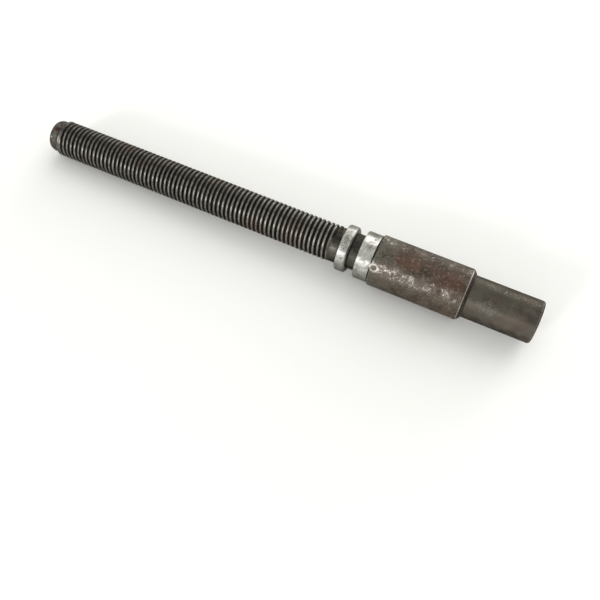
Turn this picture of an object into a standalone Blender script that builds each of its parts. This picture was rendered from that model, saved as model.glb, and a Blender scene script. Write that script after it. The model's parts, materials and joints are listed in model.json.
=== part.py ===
"""Ball screw spindle with its thrust collar, bearing cartridge and keyed drive sleeve.

The screw's axis is the X axis. The plain tip is at -X and the drive end at +X, and the origin is
halfway between them. Stations along the screw are written in millimetres from the tip's end face.
"""

from math import cos, pi, radians, sin, tau

import bmesh
import bpy
from mathutils import Matrix, Vector

MM = 0.001
GAP = 0.3  # between any two pieces that touch on the real object

# Driving dimensions, in millimetres.
LENGTH = 557.0

CREST_R = 19.6
ROOT_R = 17.85
LEAD = 5.0
CREST_STATION = 18.1  # where the ball track's land crosses the +Y side for the first time
LAND_WIDTH = 1.7
LAND_FOOT = 3.1
THREAD_START = 12.0
THREAD_END = 343.0

TIP_R = 17.3
TIP_CHAMFER = 1.3
TIP_CHAMFER_LENGTH = 3.0
TIP_LENGTH = 9.6
SHANK_R = 18.8
JOURNAL_R = 12.5
DRIVE_R = 10.0

COLLAR_START = 351.5
COLLAR_END = 362.4
COLLAR_R = 24.45
FACE_RELIEF = 0.4  # depth of the step that keeps a seat's inner part clear of what rests on it
NECK_R = 18.9

COVER_START = 372.3
COVER_END = 387.6
COVER_R = 25.15
COVER_BORE_R = 19.4
SPIGOT_END = 400.0

HOUSING_START = 388.6
HOUSING_END = 487.0
HOUSING_R = 27.0
HOUSING_CHAMFER = 3.6
REAR_MOUTH_R = 22.9
REAR_BORE_R = 22.55
SHOULDER_R = 20.8

BEARING_OUTER_R = 23.5
BEARING_WIDTH = 12.0
BALL_CIRCLE_R = 18.0
BALL_R = 3.175
BALLS = 9
SHIM_WIDTH = 1.0
SPACER_WIDTH = 8.0

NUT_R = 19.0
NUT_WIDTH = 7.0
WASHER_WIDTH = 1.2

SLEEVE_START = 446.3
SLEEVE_R = 22.15
SLEEVE_CHAMFER = 1.2
SLEEVE_CHAMFER_LENGTH = 1.7
KEY_SIDE = 6.0
KEY_START = 470.0
KEY_END = 510.0
CAP_SEAT = 549.0
CAP_R = 13.9

LOCK_SCREW_STATION = 392.6
LOCK_SCREW_ANGLE = radians(140.7)  # from +Y towards +Z
LOCK_SCREW_R = 2.5

# Flats around each turned piece.
BIG_SIDES = 32
RING_SIDES = 24
THREAD_SIDES = 12
HOLE_SIDES = 12

# Places that follow from the ones above.
BORE_R = BEARING_OUTER_R + GAP
INNER_BORE_R = JOURNAL_R + GAP
SHIM_START = SPIGOT_END + GAP
FRONT_BEARING = SHIM_START + SHIM_WIDTH + GAP
SPACER_START = FRONT_BEARING + BEARING_WIDTH + GAP
REAR_BEARING = SPACER_START + SPACER_WIDTH + GAP
HOUSING_SHOULDER = REAR_BEARING + BEARING_WIDTH + GAP
WASHER_START = REAR_BEARING + BEARING_WIDTH + GAP
NUT_START = WASHER_START + WASHER_WIDTH + GAP
JOURNAL_START = COLLAR_START + FACE_RELIEF - GAP
JOURNAL_END = SLEEVE_START - GAP
SHAFT_END = CAP_SEAT - 4.0
KEY_BOTTOM = DRIVE_R - 3.2
KEY_TOP = KEY_BOTTOM + KEY_SIDE - GAP

MATERIALS = {
    # name: (colour, metallic, roughness)
    "threaded_steel": ((0.20, 0.19, 0.17), 0.9, 0.45),
    "ground_steel": ((0.60, 0.59, 0.57), 1.0, 0.28),
    "oxidised_steel": ((0.11, 0.085, 0.07), 0.6, 0.55),
    "sleeve_steel": ((0.095, 0.088, 0.075), 0.6, 0.5),
    "dark_steel": ((0.05, 0.047, 0.043), 0.8, 0.45),
    "bearing_steel": ((0.55, 0.55, 0.56), 1.0, 0.2),
    "cage_brass": ((0.55, 0.38, 0.14), 1.0, 0.35),
    "seal_rubber": ((0.02, 0.02, 0.02), 0.0, 0.7),
    "fastener_steel": ((0.12, 0.12, 0.12), 0.9, 0.4),
}


def x_at(station):
    """A station from the tip's end face as an X coordinate, both in millimetres."""
    return station - LENGTH / 2


def clear_scene():
    for obj in list(bpy.data.objects):
        bpy.data.objects.remove(obj, do_unlink=True)


def make_collection(name):
    made = bpy.data.collections.new(name)
    bpy.context.scene.collection.children.link(made)
    return made


def make_material(name):
    colour, metallic, roughness = MATERIALS[name]
    made = bpy.data.materials.new(name)
    made.use_nodes = True
    shader = made.node_tree.nodes["Principled BSDF"]
    shader.inputs["Base Color"].default_value = (*colour, 1)
    shader.inputs["Metallic"].default_value = metallic
    shader.inputs["Roughness"].default_value = roughness
    return made


def place(name, mesh, material=None, parent=None):
    """A new object for a mesh: a piece if it has a material, or else a cutter."""
    obj = bpy.data.objects.new(name, mesh)
    if material:
        piece_collection.objects.link(obj)
        mesh.materials.append(materials[material])
        mesh.shade_smooth()
        mesh.set_sharp_from_angle(angle=radians(35))
        obj.parent = parent
    else:
        cutter_collection.objects.link(obj)
        obj.hide_render = True
        obj.display_type = "WIRE"
    return obj


def turned(name, outline, sides, material=None, parent=None):
    """A piece turned about X. The outline lists (station, radius) up its outer side from -X to +X
    and back along its bore, if it has one."""
    mesh = bpy.data.meshes.new(name)
    bm = bmesh.new()
    ring = [bm.verts.new((x_at(s) * MM, r * MM, 0)) for s, r in outline]
    for first, second in zip(ring, ring[1:]):
        bm.edges.new((first, second))
    if outline[0][1] > 0:
        bm.edges.new((ring[-1], ring[0]))
    bm.to_mesh(mesh)
    bm.free()
    obj = place(name, mesh, material, parent)
    screw = obj.modifiers.new("Turn", "SCREW")
    screw.axis = "X"
    screw.steps = screw.render_steps = sides
    screw.use_merge_vertices = True
    screw.merge_threshold = 0.000001
    screw.use_smooth_shade = material is not None
    screw.use_normal_flip = True
    return obj


def box(name, low, high, material=None, parent=None, turn=0.0):
    """A block between two corners (station, y, z), turned about X by an angle."""
    mesh = bpy.data.meshes.new(name)
    bm = bmesh.new()
    bmesh.ops.create_cube(bm, size=1)
    size = [(b - a) * MM for a, b in zip(low, high)]
    middle = [(a + b) / 2 for a, b in zip(low, high)]
    middle[0] = x_at(middle[0])
    bmesh.ops.scale(bm, vec=size, verts=bm.verts)
    bmesh.ops.translate(bm, vec=[m * MM for m in middle], verts=bm.verts)
    bmesh.ops.rotate(bm, matrix=Matrix.Rotation(turn, 3, "X"), verts=bm.verts)
    bm.to_mesh(mesh)
    bm.free()
    return place(name, mesh, material, parent)


def radial_rod(name, station, angle, low, high, radius, sides, material=None, parent=None):
    """A rod that points away from the axis at an angle from +Y towards +Z, between two radii."""
    mesh = bpy.data.meshes.new(name)
    bm = bmesh.new()
    bmesh.ops.create_cone(
        bm, cap_ends=True, segments=sides, radius1=radius * MM, radius2=radius * MM,
        depth=(high - low) * MM,
    )
    bmesh.ops.translate(bm, vec=(0, 0, (low + high) / 2 * MM), verts=bm.verts)
    bmesh.ops.rotate(bm, matrix=Matrix.Rotation(angle - pi / 2, 3, "X"), verts=bm.verts)
    bmesh.ops.translate(bm, vec=(x_at(station) * MM, 0, 0), verts=bm.verts)
    bm.to_mesh(mesh)
    bm.free()
    return place(name, mesh, material, parent)


def axial_prism(name, start, end, radius, sides, material=None, parent=None):
    """A prism along the axis, such as a hexagon socket."""
    mesh = bpy.data.meshes.new(name)
    bm = bmesh.new()
    bmesh.ops.create_cone(
        bm, cap_ends=True, segments=sides, radius1=radius * MM, radius2=radius * MM,
        depth=(end - start) * MM,
    )
    bmesh.ops.rotate(bm, matrix=Matrix.Rotation(pi / 2, 3, "Y"), verts=bm.verts)
    bmesh.ops.translate(bm, vec=(x_at((start + end) / 2) * MM, 0, 0), verts=bm.verts)
    bm.to_mesh(mesh)
    bm.free()
    return place(name, mesh, material, parent)


def combine(obj, other, operation):
    boolean = obj.modifiers.new(operation.title(), "BOOLEAN")
    boolean.operation = operation
    boolean.object = other


def cut(obj, *cutters):
    for cutter in cutters:
        combine(obj, cutter, "DIFFERENCE")


def track_land(name):
    """The land that the ball track leaves between its turns, as one long helical rib whose foot
    is sunk in the core."""
    mesh = bpy.data.meshes.new(name)
    bm = bmesh.new()
    turns = (THREAD_END - THREAD_START) // LEAD
    start = CREST_STATION + LEAD * ((THREAD_START - CREST_STATION) // LEAD + 1)
    foot_r = ROOT_R - 1.6
    slope = (LAND_FOOT - LAND_WIDTH) / 2 / (CREST_R - ROOT_R)
    foot_half = LAND_WIDTH / 2 + slope * (CREST_R - foot_r)
    corners = [
        (start - foot_half, foot_r),
        (start - LAND_WIDTH / 2, CREST_R),
        (start + LAND_WIDTH / 2, CREST_R),
        (start + foot_half, foot_r),
    ]
    section = bm.faces.new([bm.verts.new((x_at(s) * MM, r * MM, 0)) for s, r in corners])
    steps = int((turns - 1) * THREAD_SIDES)
    bmesh.ops.spin(
        bm, geom=[section, *section.edges, *section.verts], axis=(1, 0, 0), cent=(0, 0, 0),
        dvec=(LEAD * MM / THREAD_SIDES, 0, 0), angle=tau * steps / THREAD_SIDES, steps=steps,
    )
    bmesh.ops.recalc_face_normals(bm, faces=bm.faces)
    bm.to_mesh(mesh)
    bm.free()
    return place(name, mesh)


def screw_shaft(parent):
    outline = [
        (0, 0),
        (0, TIP_R - TIP_CHAMFER),
        (TIP_CHAMFER_LENGTH, TIP_R),
        (TIP_LENGTH, TIP_R),
        (TIP_LENGTH + 1.2, ROOT_R),
        (THREAD_END - 1, ROOT_R),
        (THREAD_END + 1, SHANK_R),
        (JOURNAL_START, SHANK_R),
        (JOURNAL_START, JOURNAL_R),
        (JOURNAL_END, JOURNAL_R),
        (JOURNAL_END, DRIVE_R),
        (SHAFT_END, DRIVE_R),
        (SHAFT_END, 0),
    ]
    shaft = turned("screw_shaft", outline, THREAD_SIDES, "threaded_steel", parent)
    combine(shaft, track_land("land_rib"), "UNION")
    centre_hole = turned(
        "centre_hole_cut", [(-1, 0), (-1, 5.5), (4.5, 0)], HOLE_SIDES
    )
    key_seat = box(
        "key_seat_cut",
        (KEY_START - GAP, -KEY_SIDE / 2 - GAP, KEY_BOTTOM - GAP),
        (KEY_END + GAP, KEY_SIDE / 2 + GAP, DRIVE_R + 3),
    )
    tab_slot = box("tab_slot_cut", (WASHER_START - 2, -2.5, 10.9), (JOURNAL_END + 1, 2.5, 14))
    tapped_hole = axial_prism("tapped_hole_cut", 522, SHAFT_END + 1, 4.2, HOLE_SIDES)
    cut(shaft, centre_hole, key_seat, tab_slot, tapped_hole)
    return shaft


def thrust_collar(parent):
    outline = [
        (COLLAR_START, COLLAR_R - 0.8),
        (COLLAR_START + 0.8, COLLAR_R),
        (COLLAR_END - 1.5, COLLAR_R),
        (COLLAR_END, COLLAR_R - 1.95),
        (COLLAR_END, INNER_BORE_R),
        (COLLAR_START + FACE_RELIEF, INNER_BORE_R),
        (COLLAR_START + FACE_RELIEF, SHANK_R + 0.35),
        (COLLAR_START, SHANK_R + 0.35),
    ]
    return turned("thrust_collar", outline, BIG_SIDES, "ground_steel", parent)


def seal_sleeve(parent):
    start = COLLAR_END + GAP
    end = FRONT_BEARING - GAP
    foot = SPIGOT_END - 3.0
    outline = [
        (start, NECK_R),
        (foot, NECK_R),
        (foot, 15.5),
        (end, 15.5),
        (end, INNER_BORE_R),
        (start, INNER_BORE_R),
    ]
    return turned("seal_sleeve", outline, RING_SIDES, "dark_steel", parent)


def bearing_housing(parent):
    groove_start = 478.2
    groove_end = 480.8
    outline = [
        (HOUSING_START, HOUSING_R - 0.5),
        (HOUSING_START + 0.5, HOUSING_R),
        (HOUSING_END - HOUSING_CHAMFER, HOUSING_R),
        (HOUSING_END, REAR_MOUTH_R),
        (HOUSING_END - 0.4, REAR_BORE_R),
        (groove_end, REAR_BORE_R),
        (groove_end, REAR_BORE_R + 1.65),
        (groove_start, REAR_BORE_R + 1.65),
        (groove_start, REAR_BORE_R),
        (HOUSING_SHOULDER + 3, REAR_BORE_R),
        (HOUSING_SHOULDER + 3, SHOULDER_R),
        (HOUSING_SHOULDER, SHOULDER_R),
        (HOUSING_SHOULDER, BORE_R),
        (HOUSING_START + FACE_RELIEF, BORE_R),
        (HOUSING_START + FACE_RELIEF, COVER_R + 0.35),
        (HOUSING_START, COVER_R + 0.35),
    ]
    housing = turned("bearing_housing", outline, BIG_SIDES, "oxidised_steel", parent)
    cut(housing, radial_rod(
        "lock_hole_cut", LOCK_SCREW_STATION, LOCK_SCREW_ANGLE, BORE_R - 2, HOUSING_R + 2,
        LOCK_SCREW_R + GAP, HOLE_SIDES,
    ))
    return housing


def front_cover(parent):
    pocket_end = COVER_START + 8.4
    spigot_r = BEARING_OUTER_R
    outline = [
        (COVER_START, COVER_R - 0.5),
        (COVER_START + 0.5, COVER_R),
        (COVER_END, COVER_R),
        (COVER_END, spigot_r),
        (SPIGOT_END, spigot_r),
        (SPIGOT_END, COVER_BORE_R),
        (pocket_end, COVER_BORE_R),
        (pocket_end, 22.7),
        (COVER_START, 22.7),
    ]
    cover = turned("front_cover", outline, BIG_SIDES, "ground_steel", parent)
    cut(cover, radial_rod(
        "dimple_cut", LOCK_SCREW_STATION, LOCK_SCREW_ANGLE, 21.6, HOUSING_R,
        LOCK_SCREW_R + GAP, HOLE_SIDES,
    ))
    return cover


def cover_lock_screw(parent):
    screw = radial_rod(
        "cover_lock_screw", LOCK_SCREW_STATION, LOCK_SCREW_ANGLE, 22.0, HOUSING_R - 0.45,
        LOCK_SCREW_R, HOLE_SIDES, "fastener_steel", parent,
    )
    cut(screw, radial_rod(
        "lock_socket_cut", LOCK_SCREW_STATION, LOCK_SCREW_ANGLE, HOUSING_R - 2.4,
        HOUSING_R + 1, 1.45, 6,
    ))
    return screw


def front_seal(parent):
    start = COVER_START + 0.8
    end = COVER_START + 8.1
    lip_r = NECK_R + GAP
    outline = [
        (start, 22.4),
        (end, 22.4),
        (end, 21.2),
        (start + 1.6, 21.2),
        (start + 3.4, lip_r),
        (start + 2.0, lip_r),
        (start, 20.0),
    ]
    return turned("front_seal", outline, RING_SIDES, "seal_rubber", parent)


def rear_o_ring(parent):
    middle = 479.5
    section_r = 0.72
    centre_r = SLEEVE_R + GAP + section_r
    corners = 8
    outline = [
        (middle - section_r * cos(tau * k / corners), centre_r + section_r * sin(tau * k / corners))
        for k in range(corners)
    ]
    return turned("rear_o_ring", outline, RING_SIDES, "seal_rubber", parent)


def plain_ring(name, start, end, outer_r, inner_r, sides, material, parent):
    outline = [(start, outer_r), (end, outer_r), (end, inner_r), (start, inner_r)]
    return turned(name, outline, sides, material, parent)


def race_arc(middle, centre_r, groove_r, bulge, steps=4):
    """Points of a ball groove's round bottom, from its -X lip to its +X lip. The groove sinks
    towards the axis for a bulge of -1 and away from it for +1."""
    half_angle = radians(55)
    return [
        (middle + groove_r * sin(t), centre_r + bulge * groove_r * cos(t))
        for t in (half_angle * (2 * k / steps - 1) for k in range(steps + 1))
    ]


def outer_ring(name, start, parent):
    end = start + BEARING_WIDTH
    groove = race_arc(start + BEARING_WIDTH / 2, BALL_CIRCLE_R, BALL_R + 0.45, 1)
    land_r = groove[0][1]
    outline = [
        (start, BEARING_OUTER_R - 0.6),
        (start + 0.6, BEARING_OUTER_R),
        (end - 0.6, BEARING_OUTER_R),
        (end, BEARING_OUTER_R - 0.6),
        (end, land_r),
        *reversed(groove),
        (start, land_r),
    ]
    return turned(name, outline, RING_SIDES, "bearing_steel", parent)


def inner_ring(name, start, parent):
    end = start + BEARING_WIDTH
    groove = race_arc(start + BEARING_WIDTH / 2, BALL_CIRCLE_R, BALL_R + 0.3, -1)
    land_r = groove[0][1]
    outline = [
        (start, land_r),
        *groove,
        (end, land_r),
        (end, INNER_BORE_R),
        (start, INNER_BORE_R),
    ]
    return turned(name, outline, RING_SIDES, "bearing_steel", parent)


def ball_cage(name, start, parent):
    middle = start + BEARING_WIDTH / 2
    outline = [(middle - 4.6, 18.7), (middle + 4.6, 18.7), (middle + 4.6, 17.3), (middle - 4.6, 17.3)]
    cage = turned(name, outline, BALLS * 2, "cage_brass", parent)
    for number in range(BALLS):
        pocket = radial_rod(
            f"{name}_pocket_cut_{number + 1}", middle, tau * number / BALLS, 14, 22,
            BALL_R + 0.4, 9,
        )
        cut(cage, pocket)
    return cage


def bearing_balls(side, start, parent):
    """The balls of one bearing, each its own object around one shared mesh."""
    mesh = bpy.data.meshes.new(f"{side}_ball")
    bm = bmesh.new()
    bmesh.ops.create_icosphere(bm, subdivisions=2, radius=BALL_R * MM)
    bm.to_mesh(mesh)
    bm.free()
    mesh.materials.append(materials["bearing_steel"])
    mesh.shade_smooth()
    for number in range(BALLS):
        angle = tau * number / BALLS
        ball = bpy.data.objects.new(f"{side}_ball_{number + 1}", mesh)
        piece_collection.objects.link(ball)
        ball.parent = parent
        ball.location = Vector((
            x_at(start + BEARING_WIDTH / 2),
            BALL_CIRCLE_R * cos(angle),
            BALL_CIRCLE_R * sin(angle),
        )) * MM


def lock_washer(parent):
    """A tab washer: a ring with one tab bent into the shaft's slot and notches around its rim."""
    washer = plain_ring(
        "lock_washer", WASHER_START, WASHER_START + WASHER_WIDTH, 17.6, INNER_BORE_R + 0.2,
        RING_SIDES, "fastener_steel", parent,
    )
    tab = box(
        "washer_tab", (WASHER_START, -2.0, 11.3), (WASHER_START + WASHER_WIDTH, 2.0, 14.5)
    )
    combine(washer, tab, "UNION")
    for number in range(6):
        notch = box(
            f"washer_notch_cut_{number + 1}",
            (WASHER_START - 1, -2.2, 16.2), (WASHER_START + 3, 2.2, 19),
            turn=tau * (number + 0.5) / 6,
        )
        cut(washer, notch)
    return washer


def lock_nut(parent):
    nut = plain_ring(
        "lock_nut", NUT_START, NUT_START + NUT_WIDTH, NUT_R, INNER_BORE_R, RING_SIDES,
        "fastener_steel", parent,
    )
    for number in range(4):
        slot = box(
            f"nut_slot_cut_{number + 1}",
            (NUT_START - 1, -2.5, NUT_R - 2.2), (NUT_START + NUT_WIDTH + 1, 2.5, NUT_R + 2),
            turn=tau * (number + 0.5) / 4,
        )
        cut(nut, slot)
    return nut


def drive_sleeve(parent):
    outline = [
        (SLEEVE_START, SLEEVE_R - 0.8),
        (SLEEVE_START + 0.8, SLEEVE_R),
        (LENGTH - SLEEVE_CHAMFER_LENGTH, SLEEVE_R),
        (LENGTH, SLEEVE_R - SLEEVE_CHAMFER),
        (LENGTH, CAP_R + GAP),
        (CAP_SEAT, CAP_R + GAP),
        (CAP_SEAT, DRIVE_R + GAP),
        (SLEEVE_START, DRIVE_R + GAP),
    ]
    sleeve = turned("drive_sleeve", outline, BIG_SIDES, "sleeve_steel", parent)
    cut(sleeve, box(
        "keyway_cut",
        (SLEEVE_START - 1, -KEY_SIDE / 2 - GAP, 0),
        (KEY_END + 2, KEY_SIDE / 2 + GAP, KEY_TOP + GAP),
    ))
    return sleeve


def drive_key(parent):
    return box(
        "drive_key", (KEY_START, -KEY_SIDE / 2, KEY_BOTTOM), (KEY_END, KEY_SIDE / 2, KEY_TOP),
        "dark_steel", parent,
    )


def end_washer(parent):
    start = CAP_SEAT + GAP
    face = LENGTH - 0.6
    outline = [
        (start, CAP_R),
        (face - 0.6, CAP_R),
        (face, CAP_R - 0.6),
        (face, 8.3),
        (face - 4.0, 4.3),
        (start, 4.3),
    ]
    return turned("end_washer", outline, RING_SIDES, "fastener_steel", parent)


def end_screw(parent):
    """A countersunk screw that clamps the sleeve to the shaft through the end washer."""
    face = LENGTH - 0.9
    outline = [
        (524, 0),
        (524, 3.2),
        (524.8, 3.9),
        (face - 4.0, 3.9),
        (face, 7.8),
        (face, 0),
    ]
    screw = turned("end_screw", outline, HOLE_SIDES, "fastener_steel", parent)
    cut(screw, axial_prism("end_socket_cut", face - 3.2, face + 1, 2.9, 6))
    return screw


def empty(name):
    """The axis that a body turns about."""
    made = bpy.data.objects.new(name, None)
    made.empty_display_type = "SINGLE_ARROW"
    piece_collection.objects.link(made)
    return made


clear_scene()
piece_collection = make_collection("ball_screw_assembly")
cutter_collection = make_collection("cutters")
materials = {name: make_material(name) for name in MATERIALS}

fixed_axis = empty("fixed_axis")
screw_axis = empty("screw_axis")
front_cage_axis = empty("front_cage_axis")
rear_cage_axis = empty("rear_cage_axis")

bearing_housing(fixed_axis)
front_cover(fixed_axis)
cover_lock_screw(fixed_axis)
front_seal(fixed_axis)
rear_o_ring(fixed_axis)
plain_ring(
    "preload_shim", SHIM_START, SHIM_START + SHIM_WIDTH, BEARING_OUTER_R, 20.6, RING_SIDES,
    "bearing_steel", fixed_axis,
)
outer_ring("front_outer_ring", FRONT_BEARING, fixed_axis)
plain_ring(
    "outer_spacer", SPACER_START, SPACER_START + SPACER_WIDTH, BEARING_OUTER_R, 20.6, RING_SIDES,
    "dark_steel", fixed_axis,
)
outer_ring("rear_outer_ring", REAR_BEARING, fixed_axis)

screw_shaft(screw_axis)
thrust_collar(screw_axis)
seal_sleeve(screw_axis)
inner_ring("front_inner_ring", FRONT_BEARING, screw_axis)
plain_ring(
    "inner_spacer", SPACER_START, SPACER_START + SPACER_WIDTH, 15.5, INNER_BORE_R, RING_SIDES,
    "dark_steel", screw_axis,
)
inner_ring("rear_inner_ring", REAR_BEARING, screw_axis)
lock_washer(screw_axis)
lock_nut(screw_axis)
drive_sleeve(screw_axis)
drive_key(screw_axis)
end_washer(screw_axis)
end_screw(screw_axis)

ball_cage("front_cage", FRONT_BEARING, front_cage_axis)
bearing_balls("front", FRONT_BEARING, front_cage_axis)
ball_cage("rear_cage", REAR_BEARING, rear_cage_axis)
bearing_balls("rear", REAR_BEARING, rear_cage_axis)
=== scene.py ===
"""Looks of the ball screw assembly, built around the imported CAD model.

Outlines are (x, radius, fillet) in millimetres along the screw's axis, which is the frame's X axis.
A station is a distance in millimetres from the tip's end face, along that axis. Angles round the axis
run from +Y towards +Z.
"""

import json
from math import atan2, ceil, cos, pi, radians, sin, sqrt, tan, tau

import bmesh
import bpy
from mathutils import Matrix, Vector, noise


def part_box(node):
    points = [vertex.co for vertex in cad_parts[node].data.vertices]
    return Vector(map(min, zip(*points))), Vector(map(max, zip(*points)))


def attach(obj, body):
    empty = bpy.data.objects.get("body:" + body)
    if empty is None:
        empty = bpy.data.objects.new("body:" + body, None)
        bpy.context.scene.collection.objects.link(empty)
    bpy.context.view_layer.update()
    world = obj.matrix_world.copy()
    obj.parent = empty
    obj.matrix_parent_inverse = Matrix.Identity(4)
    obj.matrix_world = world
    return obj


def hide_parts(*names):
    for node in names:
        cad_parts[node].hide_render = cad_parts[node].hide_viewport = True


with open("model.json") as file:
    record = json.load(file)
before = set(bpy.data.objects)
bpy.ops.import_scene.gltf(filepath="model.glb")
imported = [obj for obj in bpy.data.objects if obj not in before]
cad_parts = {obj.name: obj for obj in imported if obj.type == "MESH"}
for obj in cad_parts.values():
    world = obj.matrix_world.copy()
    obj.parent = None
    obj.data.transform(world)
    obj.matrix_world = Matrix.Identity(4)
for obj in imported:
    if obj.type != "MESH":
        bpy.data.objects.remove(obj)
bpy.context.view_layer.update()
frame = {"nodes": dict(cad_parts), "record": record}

MM = 0.001
AROUND = 160  # columns round a turned piece
ARC_STEPS = 4  # pieces in a fillet's arc
SHARP_ANGLE = radians(38)  # edges that turn by more than this are shaded as edges
CAD_SHARP_ANGLE = radians(30)  # the same, for the CAD nodes
SAME_POINT = 1e-7  # vertices nearer than this become one, in metres

LEAD = 5.0
TRACK_DEPTH = 1.75
TRACK_HALF_WIDTH = 1.42
TRACK_LENGTH = 341.2
LAND_AT = 18.1  # station of a land's middle on the +Y side
CROWN = 0.14  # how much lower a land is at its edges than in its middle
CUT_IN = 11.5  # station where the track begins
CUT_IN_END = 16.0  # station where it has its full depth
CUT_OUT = 337  # station where it begins to fade, on the lower side
CUT_OUT_LENGTH = 7
LATER = 8  # how much further it runs on the upper side
SHOULDER = 338  # station where the bar's size begins to change to the shank's, on the lower side
SHOULDER_LENGTH = 4

TIP_LENGTH = 9.6
TIP_R = 17.3
RAMP = 2.2  # from the tip up to the thread's full size
SHANK_R = 18.8
JOURNAL_R = 12.5  # the screw inside the bearings
DRIVE_R = 10.0  # the screw inside the drive sleeve
BORE_R = 12.8  # the holes of the collar and the neck sleeve
KEYWAY_HALF = 3.3  # half the width of the key's seat and keyway
RELIEF = 0.4  # how much lower the inner part of the collar's or housing's end face is
RELIEF_GAP = 0.35  # how far that part reaches past the edge of the piece in front of it
COLLAR_CHAMFER = 1.5
HOUSING_CHAMFER = 3.6
SLEEVE_CHAMFER = 1.7
JOINT_GAP = 1.0  # between the cover's rim and the housing
LOCK_DEGREES = 140.7
LOCK_ANGLE = radians(LOCK_DEGREES)


# ---------------------------------------------------------------- places from the frame


def span(node):
    """(start, end, outer radius) of a round node on the axis, in millimetres."""
    low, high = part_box(node)
    return low.x / MM, high.x / MM, high.z / MM


SHAFT_START, SHAFT_END, LAND_R = span("screw_shaft")
COLLAR_START, COLLAR_END, COLLAR_R = span("thrust_collar")
NECK_START, NECK_END, NECK_R = span("seal_sleeve")
COVER_START, COVER_END, COVER_R = span("front_cover")
HOUSING_START, HOUSING_END, HOUSING_R = span("bearing_housing")
SLEEVE_START, SLEEVE_END, SLEEVE_R = span("drive_sleeve")
WASHER_START, WASHER_END, WASHER_R = span("end_washer")
SCREW_START, SCREW_END, SCREW_R = span("end_screw")
LOCK_X = sum(corner.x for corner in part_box("cover_lock_screw")) / 2 / MM
LOCK_STATION = LOCK_X - SHAFT_START
TIP_END = SHAFT_START + TIP_LENGTH
TRACK_START = TIP_END
TRACK_END = TRACK_START + TRACK_LENGTH


# ---------------------------------------------------------------- mesh tools


def rounded(outline, closed):
    """The outline as points, with an arc at each corner that has a fillet."""
    points = []
    for index, (x, radius, fillet) in enumerate(outline):
        here = Vector((x, radius))
        at_end = not closed and index in (0, len(outline) - 1)
        if not fillet or at_end:
            points.append(here)
            continue
        to_last = (Vector(outline[index - 1][:2]) - here).normalized()
        to_next = (Vector(outline[(index + 1) % len(outline)][:2]) - here).normalized()
        half = to_last.angle(to_next) / 2
        centre = here + (to_last + to_next).normalized() * (fillet / sin(half))
        first = here + to_last * (fillet / tan(half)) - centre
        last = here + to_next * (fillet / tan(half)) - centre
        points += [centre + first.slerp(last, k / ARC_STEPS) * fillet for k in range(ARC_STEPS + 1)]
    return points


def divided(points, longest):
    """The same points with more along each stretch longer than a length."""
    made = []
    for here, after in zip(points, points[1:]):
        pieces = max(1, ceil((after - here).length / longest))
        made += [here.lerp(after, k / pieces) for k in range(pieces)]
    return [*made, points[-1]]


def on_axis(x, radius, angle):
    return Vector((x, radius * cos(angle), radius * sin(angle))) * MM


def mesh_from(name, bm):
    mesh = bpy.data.meshes.new(name)
    bm.to_mesh(mesh)
    bm.free()
    return mesh


def finished(name, bm, material):
    """A shaded object for a bmesh, in the scene."""
    bmesh.ops.remove_doubles(bm, verts=bm.verts, dist=SAME_POINT)
    bmesh.ops.recalc_face_normals(bm, faces=bm.faces)
    mesh = mesh_from(name, bm)
    mesh.shade_smooth()
    mesh.set_sharp_from_angle(angle=SHARP_ANGLE)
    mesh.materials.append(material)
    obj = bpy.data.objects.new(name, mesh)
    bpy.context.scene.collection.objects.link(obj)
    return obj


def lathe(name, points, material, closed=True, around=AROUND, shape=None):
    """A turned piece. shape(x, radius, angle) gives a vertex's radius where it isn't plain turning."""
    bm = bmesh.new()
    columns = []
    for k in range(around):
        angle = tau * k / around
        columns.append([
            bm.verts.new(on_axis(p.x, shape(p.x, p.y, angle) if shape else p.y, angle))
            for p in points
        ])
    rows = len(points) if closed else len(points) - 1
    for k in range(around):
        here, after = columns[k], columns[(k + 1) % around]
        for i in range(rows):
            j = (i + 1) % len(points)
            bm.faces.new((here[i], here[j], after[j], after[i]))
    return finished(name, bm, material)


def turned(name, outline, material, closed=True, longest=None, **more):
    """A turned piece from its outline, with points no further apart than the longest stretch."""
    points = rounded(outline, closed)
    if longest:
        points = divided([*points, points[0]] if closed else points, longest)
        points = points[:-1] if closed else points
    return lathe(name, points, material, closed=closed, **more)


def prism(name, sides, radius, low, high, matrix, taper=1.0):
    """A cutter: a prism or a cone along the local X axis, put in place by a matrix."""
    bm = bmesh.new()
    bmesh.ops.create_cone(
        bm, cap_ends=True, segments=sides, radius1=radius * MM, radius2=radius * taper * MM,
        depth=(high - low) * MM,
    )
    bmesh.ops.rotate(bm, matrix=Matrix.Rotation(pi / 2, 3, "Y"), verts=bm.verts)
    bmesh.ops.translate(bm, vec=((low + high) / 2 * MM, 0, 0), verts=bm.verts)
    bmesh.ops.transform(bm, matrix=matrix, verts=bm.verts)
    return bpy.data.objects.new(name, mesh_from(name, bm))


def block(name, low, high):
    """A cutter: a box between two corners in millimetres."""
    bm = bmesh.new()
    bmesh.ops.create_cube(bm, size=1)
    bmesh.ops.scale(bm, vec=[(b - a) * MM for a, b in zip(low, high)], verts=bm.verts)
    bmesh.ops.translate(bm, vec=[(a + b) / 2 * MM for a, b in zip(low, high)], verts=bm.verts)
    return bpy.data.objects.new(name, mesh_from(name, bm))


def cut(obj, *cutters):
    """Cuts the shapes out of the object's mesh and clears them away."""
    for cutter in cutters:
        bpy.context.scene.collection.objects.link(cutter)
        modifier = obj.modifiers.new("Cut", "BOOLEAN")
        modifier.operation = "DIFFERENCE"
        modifier.object = cutter
    graph = bpy.context.evaluated_depsgraph_get()
    mesh = bpy.data.meshes.new_from_object(obj.evaluated_get(graph))
    obj.modifiers.clear()
    obj.data = mesh
    mesh.set_sharp_from_angle(angle=SHARP_ANGLE)
    for cutter in cutters:
        bpy.data.objects.remove(cutter)


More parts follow.
